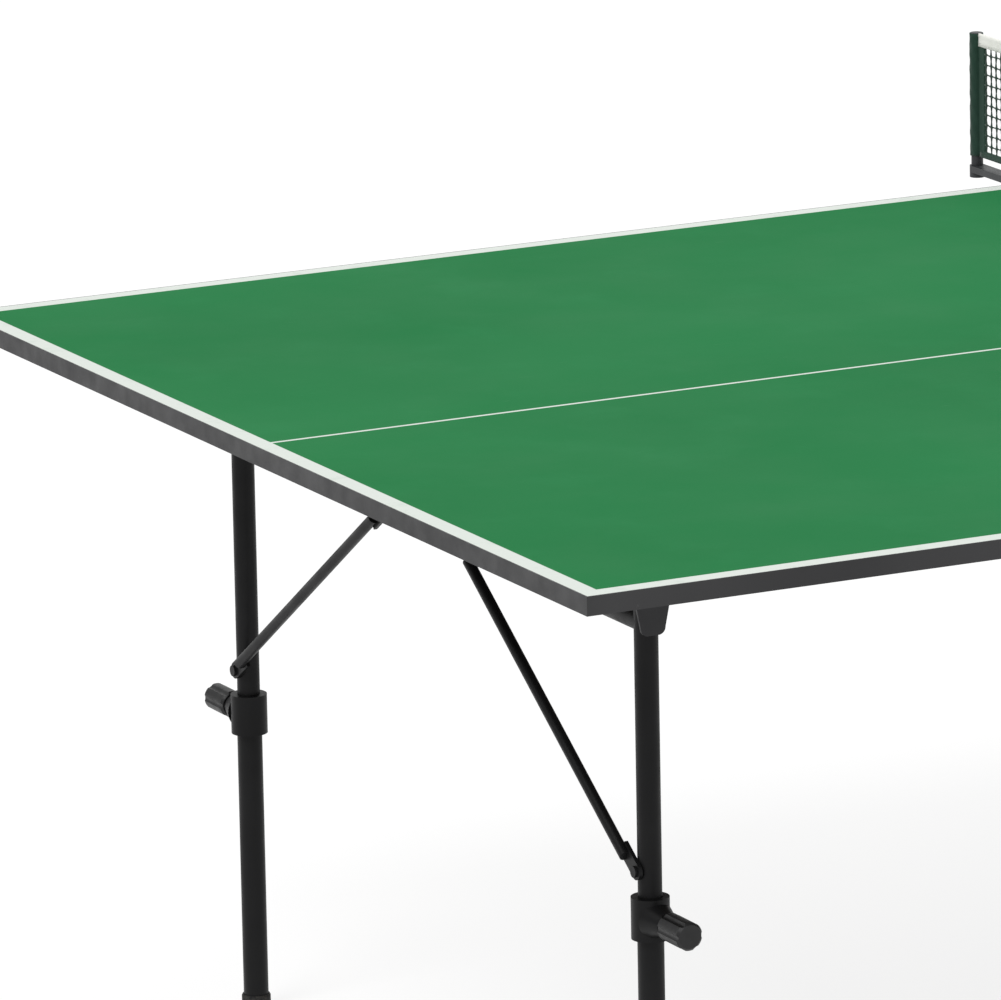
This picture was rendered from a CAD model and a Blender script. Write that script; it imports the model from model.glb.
"""Looks for a folding table tennis table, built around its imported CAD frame. Units are metres."""
import math
import random

import bmesh
import bpy
from mathutils import Matrix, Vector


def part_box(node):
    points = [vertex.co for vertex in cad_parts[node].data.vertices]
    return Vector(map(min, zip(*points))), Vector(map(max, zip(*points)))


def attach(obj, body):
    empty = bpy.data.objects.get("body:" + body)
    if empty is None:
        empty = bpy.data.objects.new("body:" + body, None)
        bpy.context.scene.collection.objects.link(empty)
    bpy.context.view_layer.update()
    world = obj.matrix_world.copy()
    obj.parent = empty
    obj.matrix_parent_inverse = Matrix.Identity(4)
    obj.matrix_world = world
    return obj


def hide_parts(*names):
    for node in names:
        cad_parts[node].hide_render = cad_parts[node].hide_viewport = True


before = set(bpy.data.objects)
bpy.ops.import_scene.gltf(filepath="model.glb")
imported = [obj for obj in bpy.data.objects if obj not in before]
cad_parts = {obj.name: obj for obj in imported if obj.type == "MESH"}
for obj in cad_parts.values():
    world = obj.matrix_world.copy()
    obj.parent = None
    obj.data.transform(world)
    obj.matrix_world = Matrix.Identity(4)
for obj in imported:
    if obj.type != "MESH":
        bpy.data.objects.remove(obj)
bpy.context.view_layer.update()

# Camera: yaw is clockwise from +Y, pitch is downwards, roll turns it about its own line of sight
CAMERA_PLACE = (-5.6294, -9.1801, 3.093)
CAMERA_YAW = math.radians(26.342)
CAMERA_PITCH = math.radians(13.327)
CAMERA_ROLL = math.radians(-1.090)
CAMERA_LENS = 359.64
SENSOR = 36.0

HALVES = ("left", "right")
ROWS = ("end", "net")
SIDES = ("near", "far")


def srgb(red, green, blue):
    """A display colour, 0 to 255, as linear RGBA."""
    def linear(value):
        v = value / 255
        return v / 12.92 if v <= 0.04045 else ((v + 0.055) / 1.055) ** 2.4
    return (linear(red), linear(green), linear(blue), 1.0)


class Finish:
    """A procedural material: one Principled shader and the nodes that feed it."""

    def __init__(self, name, roughness=0.5, specular=0.5, metallic=0.0):
        self.material = bpy.data.materials.new(name)
        self.material.use_nodes = True
        self.tree = self.material.node_tree
        self.shader = self.tree.nodes["Principled BSDF"]
        self.shader.inputs["Roughness"].default_value = roughness
        self.shader.inputs["Specular IOR Level"].default_value = specular
        self.shader.inputs["Metallic"].default_value = metallic
        self.place = self.node("ShaderNodeTexCoord").outputs["Object"]
        split = self.node("ShaderNodeSeparateXYZ")
        self.link(self.place, split.inputs[0])
        self.x, self.y, self.z = split.outputs

    def node(self, kind):
        return self.tree.nodes.new(kind)

    def link(self, source, target):
        """Links an output, or sets a plain value."""
        if isinstance(source, bpy.types.NodeSocket):
            self.tree.links.new(source, target)
        else:
            target.default_value = source

    def math(self, operation, a, b=0.0, clamp=False):
        node = self.node("ShaderNodeMath")
        node.operation, node.use_clamp = operation, clamp
        self.link(a, node.inputs[0])
        self.link(b, node.inputs[1])
        return node.outputs[0]

    def scaled(self, x=1.0, y=1.0, z=1.0):
        """Object coordinates stretched along each axis."""
        node = self.node("ShaderNodeMapping")
        self.link(self.place, node.inputs["Vector"])
        node.inputs["Scale"].default_value = (x, y, z)
        return node.outputs[0]

    def noise(self, scale, detail=3.0, rough=0.5, at=None, distortion=0.0):
        node = self.node("ShaderNodeTexNoise")
        self.link(self.place if at is None else at, node.inputs["Vector"])
        node.inputs["Scale"].default_value = scale
        node.inputs["Detail"].default_value = detail
        node.inputs["Roughness"].default_value = rough
        node.inputs["Distortion"].default_value = distortion
        return node.outputs["Fac"]

    def cells(self, scale, at=None):
        node = self.node("ShaderNodeTexVoronoi")
        self.link(self.place if at is None else at, node.inputs["Vector"])
        node.inputs["Scale"].default_value = scale
        return node.outputs["Distance"]

    def remap(self, value, low, high, to_low=0.0, to_high=1.0):
        node = self.node("ShaderNodeMapRange")
        self.link(value, node.inputs["Value"])
        for name, number in zip(("From Min", "From Max", "To Min", "To Max"),
                                (low, high, to_low, to_high)):
            node.inputs[name].default_value = number
        return node.outputs["Result"]

    def mix(self, amount, a, b):
        """Blends colour a towards colour b."""
        node = self.node("ShaderNodeMix")
        node.data_type = "RGBA"
        self.link(amount, node.inputs[0])
        self.link(a, node.inputs[6])
        self.link(b, node.inputs[7])
        return node.outputs[2]

    def colour(self, source):
        self.link(source, self.shader.inputs["Base Color"])

    def roughness(self, source):
        self.link(source, self.shader.inputs["Roughness"])

    def bump(self, height, depth, strength=1.0):
        """Relief whose full height is depth metres."""
        node = self.node("ShaderNodeBump")
        node.inputs["Strength"].default_value = strength
        node.inputs["Distance"].default_value = depth
        self.link(height, node.inputs["Height"])
        if self.shader.inputs["Normal"].is_linked:
            before = self.shader.inputs["Normal"].links[0].from_socket
            self.link(before, node.inputs["Normal"])
        self.link(node.outputs[0], self.shader.inputs["Normal"])


# ---- materials -------------------------------------------------------------

LINE_WIDTH = 0.020
CENTRE_LINE = 0.005
PAINT_EDGE = 0.0003
GREEN = srgb(36, 118, 67)
GREEN_DEEP = srgb(31, 112, 62)
GREEN_PALE = srgb(45, 126, 76)
LINE_WHITE = srgb(208, 214, 208)
LINE_WORN = srgb(184, 196, 186)


def board_paint(half):
    """Matt green paint with white border lines, and a sealed dark underside."""
    low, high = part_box(half + "_board")
    f = Finish(half + "_board_paint", roughness=0.7, specular=0.035)
    table = f.mix(f.remap(f.noise(1.7, 2), 0.35, 0.65), GREEN, GREEN_DEEP)
    table = f.mix(f.remap(f.noise(9, 5, 0.6), 0.52, 0.8, 0, 0.35), table, GREEN_PALE)
    table = f.mix(f.remap(f.noise(420, 2), 0.3, 0.7, 0, 0.10), table, GREEN_PALE)

    def past(value, limit, sign):
        """1 where sign * value is beyond sign * limit."""
        return f.remap(value, limit - sign * PAINT_EDGE, limit + sign * PAINT_EDGE)
    end_edge = low.x if half == "left" else high.x
    sign = -1 if half == "left" else 1
    border = f.math("MAXIMUM", past(f.x, end_edge - sign * LINE_WIDTH, sign),
                    f.math("MAXIMUM", past(f.y, low.y + LINE_WIDTH, -1),
                           past(f.y, high.y - LINE_WIDTH, 1)))
    middle = (low.y + high.y) / 2
    away = f.math("ABSOLUTE", f.math("SUBTRACT", f.y, middle))
    centre = past(away, CENTRE_LINE / 2, -1)
    lines = f.math("MAXIMUM", border, centre, clamp=True)
    worn = f.remap(f.noise(35, 6, 0.7), 0.55, 0.75, 0, 0.6)
    table = f.mix(lines, table, f.mix(worn, LINE_WHITE, LINE_WORN))

    scuffs = f.remap(f.noise(14, 8, 0.75, f.scaled(1, 6, 1), 0.6), 0.66, 0.74, 0, 0.16)
    table = f.mix(scuffs, table, srgb(150, 176, 158))
    under = f.mix(f.remap(f.noise(160, 4, 0.7), 0.35, 0.7), srgb(52, 47, 42), srgb(74, 66, 57))
    top = f.remap(f.z, high.z - 0.0012, high.z - 0.0004)
    f.colour(f.mix(top, under, table))
    gloss = f.math("ADD", f.remap(f.noise(6, 4), 0.3, 0.7, 0.62, 0.74), f.math("MULTIPLY", scuffs, 0.5))
    f.roughness(gloss)
    f.bump(f.noise(900, 2), 0.00006, 0.6)
    f.bump(lines, 0.00008, 0.6)
    return f.material


def dark_band():
    """Satin dark grey edge band with small knocks."""
    f = Finish("edge_band", roughness=0.45, specular=0.22)
    base = f.mix(f.remap(f.noise(5, 4), 0.35, 0.65), srgb(50, 50, 51), srgb(60, 60, 61))
    knocks = f.remap(f.noise(60, 6, 0.7), 0.68, 0.74, 0, 0.5)
    f.colour(f.mix(knocks, base, srgb(128, 128, 126)))
    f.roughness(f.remap(f.noise(40, 5), 0.3, 0.7, 0.36, 0.56))
    f.bump(f.noise(700, 3), 0.00008, 0.5)
    f.bump(knocks, -0.0002, 0.5)
    return f.material


def powder_coat(name, dark, pale, rough, scuff_height=0.0, specular=0.3):
    """Powder-coated steel: fine orange peel, dust, and scuffs near the floor."""
    f = Finish(name, roughness=rough, specular=specular)
    base = f.mix(f.remap(f.noise(7, 5, 0.6), 0.35, 0.7), dark, pale)
    scratches = f.remap(f.noise(26, 9, 0.8, f.scaled(1, 1, 0.16), 0.4), 0.655, 0.70, 0, 0.35)
    if scuff_height:
        lower = f.remap(f.z, scuff_height, 0.0, 0.15, 1.0)
        scratches = f.math("MULTIPLY", scratches, lower)
    base = f.mix(scratches, base, srgb(120, 120, 118))
    f.colour(base)
    f.roughness(f.remap(f.noise(30, 5), 0.3, 0.7, rough - 0.07, rough + 0.09))
    f.bump(f.noise(950, 2), 0.00007, 0.5)
    f.bump(f.noise(240, 2), 0.00010, 0.4)
    return f.material


def zinc():
    """Zinc-plated steel with a spangled, slightly dulled skin."""
    f = Finish("zinc", roughness=0.35, metallic=1.0)
    base = f.mix(f.remap(f.cells(260), 0.2, 0.7), srgb(176, 178, 176), srgb(150, 152, 150))
    dull = f.remap(f.noise(45, 6, 0.7), 0.5, 0.75, 0, 0.6)
    f.colour(f.mix(dull, base, srgb(118, 114, 104)))
    f.roughness(f.remap(f.noise(80, 5), 0.3, 0.7, 0.28, 0.5))
    f.bump(f.noise(600, 3), 0.00006, 0.5)
    return f.material


def rubber():
    """Black rubber, dusty towards the floor."""
    f = Finish("foot_rubber", roughness=0.8, specular=0.25)
    dust = f.math("MULTIPLY", f.remap(f.z, 0.03, 0.0, 0.1, 0.8),
                  f.remap(f.noise(120, 5, 0.7), 0.4, 0.7))
    f.colour(f.mix(dust, srgb(26, 26, 27), srgb(92, 88, 82)))
    f.roughness(f.remap(f.noise(90, 4), 0.3, 0.7, 0.7, 0.9))
    f.bump(f.noise(500, 4, 0.7), 0.00015, 0.6)
    return f.material


def moulded_plastic():
    """Black moulded plastic with a fine spark-eroded grain."""
    f = Finish("knob_plastic", roughness=0.42, specular=0.4)
    rubbed = f.remap(f.noise(70, 6, 0.7), 0.55, 0.75, 0, 0.4)
    f.colour(f.mix(rubbed, srgb(22, 22, 23), srgb(46, 46, 46)))
    f.roughness(f.remap(f.noise(110, 4), 0.3, 0.7, 0.36, 0.52))
    f.bump(f.noise(1500, 2), 0.00006, 0.5)
    return f.material


def woven(name, colour, shade, threads=900.0):
    """Tightly woven tape: warp and weft ridges with dirt in between."""
    f = Finish(name, roughness=0.85, specular=0.2)
    warp = f.math("SINE", f.math("MULTIPLY", f.y, threads * 2 * math.pi))
    weft = f.math("SINE", f.math("MULTIPLY", f.z, threads * 2 * math.pi))
    weave = f.remap(f.math("MULTIPLY", warp, weft), -1, 1)
    dirt = f.remap(f.noise(18, 6, 0.7), 0.45, 0.75, 0, 0.5)
    base = f.mix(f.math("MULTIPLY", weave, 0.3), colour, shade)
    f.colour(f.mix(dirt, base, shade))
    f.bump(weave, 0.00015, 0.6)
    f.shader.inputs["Sheen Weight"].default_value = 0.15
    f.shader.inputs["Sheen Roughness"].default_value = 0.5
    return f.material


def net_thread():
    """Dark green twisted thread."""
    f = Finish("net_thread", roughness=0.8, specular=0.2)
    twist = f.math("SINE", f.math("MULTIPLY", f.math("ADD", f.y, f.z), 3200.0))
    base = f.mix(f.remap(twist, -1, 1, 0.0, 0.6), srgb(24, 46, 36), srgb(42, 70, 56))
    f.colour(f.mix(f.remap(f.noise(30, 4), 0.5, 0.8, 0, 0.5), base, srgb(66, 78, 70)))
    f.roughness(f.remap(f.noise(80, 3), 0.3, 0.7, 0.7, 0.88))
    f.bump(twist, 0.0001, 0.5)
    f.shader.inputs["Sheen Weight"].default_value = 0.15
    return f.material


def paint(node, material):
    """Gives a CAD node one material on all of its slots."""
    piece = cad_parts[node]
    if not piece.data.materials:
        piece.data.materials.append(material)
    for k in range(len(piece.material_slots)):
        piece.material_slots[k].link = "OBJECT"
        piece.material_slots[k].material = material


def paint_all():
    """Gives every CAD node its material."""
    band, metal, rubber_skin, plastic = dark_band(), zinc(), rubber(), moulded_plastic()
    rails = powder_coat("rail_coat", srgb(38, 39, 41), srgb(50, 51, 53), 0.5)
    brackets = powder_coat("bracket_coat", srgb(34, 34, 36), srgb(46, 46, 48), 0.45)
    legs = powder_coat("leg_coat", srgb(15, 15, 16), srgb(24, 24, 25), 0.42, 0.5, specular=0.16)
    brace_skin = powder_coat("brace_coat", srgb(17, 17, 18), srgb(27, 27, 28), 0.4, specular=0.18)
    posts = powder_coat("post_coat", srgb(40, 42, 44), srgb(54, 56, 58), 0.42)
    for half in HALVES:
        paint(half + "_board", board_paint(half))
        paint(half + "_edge_band", band)
        paint(half + "_cross_rails", rails)
        paint(half + "_hinge_brackets", brackets)
        paint(half + "_hinge_fasteners", metal)
        for row in ROWS:
            paint(f"{half}_{row}_cross_tube", legs)
            paint(f"{half}_{row}_braces", brace_skin)
            for side in SIDES:
                leg = f"{half}_{row}_{side}"
                paint(leg + "_upper_leg", legs)
                paint(leg + "_lower_leg", legs)
                paint(leg + "_foot", rubber_skin)
                paint(leg + "_knob", plastic)
    for side in SIDES:
        paint(side + "_net_post", posts)
        paint(side + "_clamp_screw", metal)
    paint("joining_sockets", brackets)
    paint("joining_dowels", brackets)


# ---- net -------------------------------------------------------------------

MESH_PITCH = 0.012
# Half sizes of a knot (across the net and through it) and of a thread's middle
KNOT, KNOT_DEPTH = 0.0010, 0.0009
STRAND = 0.00055
KNOT_WANDER = 0.0005
# Declared area as a share of the rectangle the net is cut from.
TAPE_HEIGHT = 0.015
HEM_HEIGHT = 0.008
# How far the mesh reaches into the tape, the hem and the sleeves
TUCK = 0.004
SAG = 0.004
BILLOW, BILLOW_WAVES = 0.0025, 9
TAPE_RIPPLE, RIPPLE_WAVES = 0.0006, (23, 61)
# Half the tape's thickness at its stitches, and how far the two rows of stitches are below its top
TAPE_SURFACE, STITCH_ROWS = 0.00128, (0.0132, 0.0060)
SLEEVE_WALL = 0.0012
SLEEVE_TONGUE = 0.022
# How far a sleeve stops short of the net's bottom and top
SLEEVE_ENDS = (0.001, 0.0006)
POST_RADIUS, POST_CAP_RADIUS, POST_GAP = 0.007, 0.009, 0.0002
# Half length, half width and height of a stitch, and how deep its foot sits in the tape
STITCH = (0.0016, 0.00022, 0.00022)
STITCH_FOOT = 0.0002
STITCH_STEP, STITCH_START = 0.0045, 0.01
# Corners of a box's six faces, for corners listed round its back and then round its front
BOX_FACES = ((0, 3, 2, 1), (4, 5, 6, 7), (0, 1, 5, 4), (1, 2, 6, 5), (2, 3, 7, 6), (3, 0, 4, 7))
# Closed outlines of the two tapes, as (x, z) in millimetres
TAPE_PROFILE = ((-1.3, -15), (-1.25, -9), (-1.3, -5), (-2.0, -2.6), (-1.7, -0.8), (-0.8, 0),
                (0.8, 0), (1.7, -0.8), (2.0, -2.6), (1.3, -5), (1.25, -9), (1.3, -15))
HEM_PROFILE = ((-1.2, 0), (-1.3, 2), (-1.2, 6), (-1.1, 8), (1.1, 8), (1.2, 6), (1.3, 2), (1.2, 0))


def new_piece(name, points, faces, material, smooth=True):
    """A mesh object with its faces turned outwards."""
    mesh = bpy.data.meshes.new(name)
    mesh.from_pydata(points, [], faces)
    mesh.validate()
    shape = bmesh.new()
    shape.from_mesh(mesh)
    bmesh.ops.recalc_face_normals(shape, faces=shape.faces)
    shape.to_mesh(mesh)
    shape.free()
    for face in mesh.polygons:
        face.use_smooth = smooth
    mesh.materials.append(material)
    piece = bpy.data.objects.new(name, mesh)
    bpy.context.scene.collection.objects.link(piece)
    return piece


class NetPlace:
    """Where a point of the flat net hangs: the top sags a little and the middle billows."""

    def __init__(self):
        self.low, self.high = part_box("net")
        self.height = self.high.z - self.low.z
        self.half = self.high.y

    def __call__(self, x, y, z):
        along = 1 - (y / self.half) ** 2
        up = (z - self.low.z) / self.height
        drop = SAG * along * up ** 2
        bulge = math.sin(math.pi * min(max(up, 0), 1))
        side = BILLOW * along * bulge * math.cos(BILLOW_WAVES * y)
        return (x + side, y, z - drop)


def square(half_y, half_z):
    """Corners of a rectangle about zero, in order."""
    return (-half_y, -half_z), (half_y, -half_z), (half_y, half_z), (-half_y, half_z)


def knot_corners(points, place, y, z):
    """Adds a knot's eight corners and returns their indices."""
    start = len(points)
    for x in (-KNOT_DEPTH, KNOT_DEPTH):
        for dy, dz in square(KNOT, KNOT):
            points.append(place(x, y + dy, z + dz))
    return [start + k for k in range(8)]


def strand(points, faces, place, a, b, along_y):
    """Joins two knots with a thread that is thinner in its middle. a and b are (indices, y, z)."""
    y, z = (a[1] + b[1]) / 2, (a[2] + b[2]) / 2
    start = len(points)
    for x, d in ((-STRAND, -STRAND), (-STRAND, STRAND), (STRAND, STRAND), (STRAND, -STRAND)):
        points.append(place(x, y, z + d) if along_y else place(x, y + d, z))
    middle = [start + k for k in range(4)]
    leave, arrive = ((1, 2, 6, 5), (0, 3, 7, 4)) if along_y else ((3, 2, 6, 7), (0, 1, 5, 4))
    for first, second in (([a[0][k] for k in leave], middle), (middle, [b[0][k] for k in arrive])):
        for k in range(4):
            n = (k + 1) % 4
            faces.append((first[k], first[n], second[n], second[k]))


def make_net_mesh(place, material):
    """The knotted mesh: one closed lattice of threads."""
    bottom = place.low.z + HEM_HEIGHT - TUCK
    top = place.high.z - TAPE_HEIGHT + TUCK
    side = place.half - TUCK
    columns = round(2 * side / MESH_PITCH)
    rows = round((top - bottom) / MESH_PITCH)
    rng = random.Random(7)
    points, faces, knots = [], [], {}
    for i in range(columns + 1):
        for j in range(rows + 1):
            y = -side + 2 * side * i / columns
            z = bottom + (top - bottom) * j / rows
            if 0 < i < columns and 0 < j < rows:
                y += rng.uniform(-KNOT_WANDER, KNOT_WANDER)
                z += rng.uniform(-KNOT_WANDER, KNOT_WANDER)
            knots[i, j] = (knot_corners(points, place, y, z), y, z)
    for (i, j), knot in knots.items():
        c = knot[0]
        faces += [(c[0], c[3], c[2], c[1]), (c[4], c[5], c[6], c[7])]
        if i < columns:
            strand(points, faces, place, knot, knots[i + 1, j], True)
        else:
            faces.append((c[1], c[2], c[6], c[5]))
        if j < rows:
            strand(points, faces, place, knot, knots[i, j + 1], False)
        else:
            faces.append((c[3], c[7], c[6], c[2]))
        if i == 0:
            faces.append((c[0], c[4], c[7], c[3]))
        if j == 0:
            faces.append((c[0], c[1], c[5], c[4]))
    piece = new_piece("net_mesh", points, faces, material)
    return piece, (2 * side, top - bottom)


def make_band(name, place, profile, z_base, material, steps=240, ripple=0.0):
    """A tape along the whole net: profile is its closed outline as (x, z) pairs in millimetres."""
    rng = random.Random(len(name))
    phase = rng.uniform(0, 6)
    points, faces = [], []
    count = len(profile)
    for k in range(steps + 1):
        y = -place.half + 2 * place.half * k / steps
        slow, fast = RIPPLE_WAVES
        sway = ripple * math.sin(slow * y + phase) + ripple * 0.6 * math.sin(fast * y)
        for x, z in profile:
            lower = max(0.0, -z / (1000 * TAPE_HEIGHT))
            points.append(place(x / 1000 + sway * lower, y, z_base + z / 1000))
    for k in range(steps):
        for n in range(count):
            m = (n + 1) % count
            faces.append((k * count + n, k * count + m, (k + 1) * count + m, (k + 1) * count + n))
    faces.append(tuple(range(count))[::-1])
    faces.append(tuple(steps * count + n for n in range(count)))
    return new_piece(name, points, faces, material)


def make_stitches(name, place, offsets, surface, material):
    """Rows of small stitches on both faces of a tape."""
    long, wide, tall = STITCH
    points, faces = [], []
    first = STITCH_START - place.half
    count = int(-2 * first / STITCH_STEP)
    for z in offsets:
        for k in range(count + 1):
            y = first + k * STITCH_STEP
            for side in (-1, 1):
                start = len(points)
                for out, taper in ((surface - STITCH_FOOT, 1.0), (surface + tall, 0.7)):
                    for dy, dz in square(long, wide):
                        points.append(place(side * out, y + dy * taper, z + dz * taper))
                faces += [tuple(start + c for c in quad) for quad in BOX_FACES]
    return new_piece(name, points, faces, material, smooth=False)


def sleeve_outline(turn, z):
    """Distance of the sleeve's skin from the post's axis. Turn 0 faces the net."""
    wrinkle = 0.0002 * math.sin(5 * turn + 260 * z) + 0.00015 * math.sin(3 * turn - 410 * z)
    tube = POST_RADIUS + SLEEVE_WALL + wrinkle
    if math.cos(turn) <= 0:
        return tube
    tongue = SLEEVE_WALL / max(abs(math.sin(turn)), 1e-4)
    return min(SLEEVE_TONGUE, max(tube, tongue))


def make_sleeve(side, place, material, count=96, steps=40):
    """The net's end hem, sewn round its post: a tube with a flat tongue towards the net."""
    low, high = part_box(side + "_net_post")
    sign = -1 if side == "near" else 1
    centre = sign * (max(abs(low.y), abs(high.y)) - POST_CAP_RADIUS)
    bottom, top = place.low.z + SLEEVE_ENDS[0], place.high.z - SLEEVE_ENDS[1]
    points, faces = [], []
    for k in range(steps + 1):
        z = bottom + (top - bottom) * k / steps
        for n in range(count):
            turn = 2 * math.pi * n / count
            for radius in (sleeve_outline(turn, z), POST_RADIUS + POST_GAP):
                across, along = radius * math.sin(turn), radius * math.cos(turn)
                points.append((across, centre - sign * along, z))

    def at(k, n, inner):
        return 2 * (k * count + n % count) + inner

    def add_face(corners, turned):
        faces.append(corners[::-1] if turned else corners)
    for k in range(steps):
        for n in range(count):
            for inner in (0, 1):
                wall = (at(k, n, inner), at(k, n + 1, inner), at(k + 1, n + 1, inner), at(k + 1, n, inner))
                add_face(wall, turned=(inner == 0) != (sign < 0))
    for k in (0, steps):
        for n in range(count):
            rim = (at(k, n, 0), at(k, n, 1), at(k, n + 1, 1), at(k, n + 1, 0))
            add_face(rim, turned=(k == 0) == (sign > 0))
    return new_piece(side + "_net_sleeve", points, faces, material)


def make_net():
    """The whole net: mesh, tapes, stitches and sleeves, in place of the CAD plate."""
    thread = net_thread()
    dark_tape = woven("net_hem_tape", srgb(34, 62, 50), srgb(20, 40, 32))
    white_tape = woven("net_white_tape", srgb(236, 236, 230), srgb(198, 198, 190))
    place = NetPlace()
    mesh, flat = make_net_mesh(place, thread)
    tape = make_band("net_top_tape", place, TAPE_PROFILE, place.high.z, white_tape,
                     ripple=TAPE_RIPPLE)
    hem = make_band("net_bottom_hem", place, HEM_PROFILE, place.low.z, dark_tape)
    rows = [place.high.z - drop for drop in STITCH_ROWS]
    stitches = make_stitches("net_tape_stitches", place, rows, TAPE_SURFACE, white_tape)
    sleeves = [make_sleeve(side, place, dark_tape) for side in SIDES]
    pieces = [tape, hem, stitches] + sleeves
    for piece in [mesh] + pieces:
        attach(piece, "left_half")
    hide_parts("net")


# ---- stage -----------------------------------------------------------------

FLOOR_SIZE = 6000.0
FLOOR_GREY, FLOOR_GLOW = (0.18, 0.18, 0.18, 1), 0.83
WHITE = (1, 1, 1, 1)
# Brightness of the sky by the height of its direction: the whole sky, then the horizon's band
SKY = (0.0, 0.8, 0.32, 0.95)
HORIZON = (0.025, 0.06, 1.0, 0.0)
# Name, strength, angular size, tilt from overhead and turn of each lamp, in degrees
SUNS = (("key", 1.3, 24, 38, -62), ("rim", 0.5, 40, 52, 140))


def make_stage():
    """A plain pale floor that reaches the horizon, lit from within so that its shadows stay faint."""
    half = FLOOR_SIZE / 2
    mesh = bpy.data.meshes.new("floor")
    mesh.from_pydata([(-half, -half, 0), (half, -half, 0), (half, half, 0), (-half, half, 0)],
                     [], [(0, 1, 2, 3)])
    floor = bpy.data.objects.new("floor", mesh)
    bpy.context.scene.collection.objects.link(floor)
    f = Finish("floor_paper", roughness=0.9, specular=0.0)
    f.shader.inputs["Base Color"].default_value = FLOOR_GREY
    f.shader.inputs["Emission Color"].default_value = WHITE
    f.shader.inputs["Emission Strength"].default_value = FLOOR_GLOW
    floor.data.materials.append(f.material)


def make_sky():
    """A white studio sky, brightest overhead, with a narrow white band that the floor fades into."""
    world = bpy.data.worlds.new("studio")
    world.use_nodes = True
    bpy.context.scene.world = world
    tree = world.node_tree
    back = tree.nodes["Background"]
    back.inputs["Color"].default_value = WHITE
    split = tree.nodes.new("ShaderNodeSeparateXYZ")
    place = tree.nodes.new("ShaderNodeTexCoord")
    tree.links.new(place.outputs["Generated"], split.inputs[0])
    brighter = tree.nodes.new("ShaderNodeMath")
    brighter.operation = "MAXIMUM"
    for k, numbers in enumerate((SKY, HORIZON)):
        ramp = tree.nodes.new("ShaderNodeMapRange")
        tree.links.new(split.outputs[2], ramp.inputs["Value"])
        for name, number in zip(("From Min", "From Max", "To Min", "To Max"), numbers):
            ramp.inputs[name].default_value = number
        tree.links.new(ramp.outputs["Result"], brighter.inputs[k])
    tree.links.new(brighter.outputs[0], back.inputs["Strength"])


def make_lights():
    """The sky, one soft key light from the left front and a weak one from behind."""
    make_sky()
    for name, energy, width, tilt, turn in SUNS:
        sun = bpy.data.lights.new(name, "SUN")
        sun.energy, sun.angle = energy, math.radians(width)
        lamp = bpy.data.objects.new(name, sun)
        lamp.rotation_euler = (math.radians(tilt), 0, math.radians(turn))
        bpy.context.scene.collection.objects.link(lamp)
    bpy.context.scene.view_settings.view_transform = "Standard"


def make_camera():
    """The photograph's view: a long lens with a little roll."""
    data = bpy.data.cameras.new("camera")
    data.lens, data.sensor_width = CAMERA_LENS, SENSOR
    data.clip_start, data.clip_end = 0.5, 4000
    camera = bpy.data.objects.new("camera", data)
    camera.location = CAMERA_PLACE
    level = Matrix.Rotation(-CAMERA_YAW, 3, "Z") @ Matrix.Rotation(math.pi / 2 - CAMERA_PITCH, 3, "X")
    camera.rotation_euler = (level @ Matrix.Rotation(CAMERA_ROLL, 3, "Z")).to_euler()
    bpy.context.scene.collection.objects.link(camera)
    bpy.context.scene.camera = camera


make_camera()
make_stage()
make_lights()
paint_all()
make_net()

bpy.context.view_layer.update()
